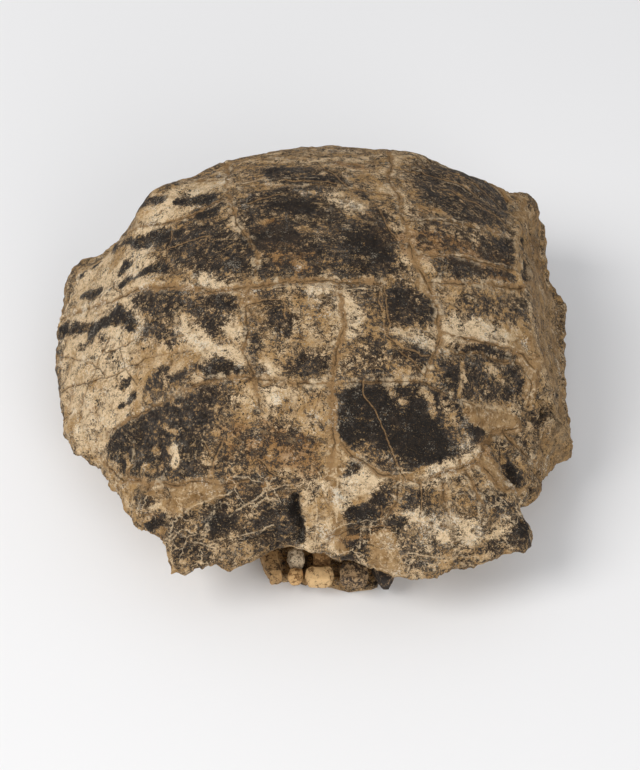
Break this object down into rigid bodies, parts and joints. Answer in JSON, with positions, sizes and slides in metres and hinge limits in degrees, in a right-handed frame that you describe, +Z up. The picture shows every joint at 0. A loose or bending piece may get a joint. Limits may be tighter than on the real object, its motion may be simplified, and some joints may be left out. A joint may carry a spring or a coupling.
{
  "type": "fossil tortoise shell",
  "caption": "Domed fossil tortoise shell filled with rock, its front rim broken, with bits of bone and pebble cemented in the neck opening.",
  "frame": {"origin": "centre of the footprint, at the height of the flat plastron that it rests on", "axes": "-Y points to the neck opening at the front, +X to the side with the broken flat wall, +Z up through the dome"},
  "size_m": [0.411, 0.4086, 0.194],
  "materials": {
    "shell_bone": "mineralised bone with tan rock in the seams, dull",
    "gular_slab_mineral": "cracked pale bone, dull",
    "speckled_lump_mineral": "white crust with black specks, dull",
    "small_pebble_mineral": "smooth yellow stone, dull",
    "long_pebble_mineral": "smooth yellow stone, dull",
    "square_block_mineral": "tan stone, dull",
    "rough_lump_mineral": "dark bone with tan rock, rough",
    "dark_wedge_mineral": "smooth dark bone, satin"
  },
  "bodies": {
    "root": {"shell": "shell_bone", "gular_slab": "gular_slab_mineral", "speckled_lump": "speckled_lump_mineral", "small_pebble": "small_pebble_mineral", "long_pebble": "long_pebble_mineral", "square_block": "square_block_mineral", "rough_lump": "rough_lump_mineral", "dark_wedge": "dark_wedge_mineral"}
  },
  "joints": []
}
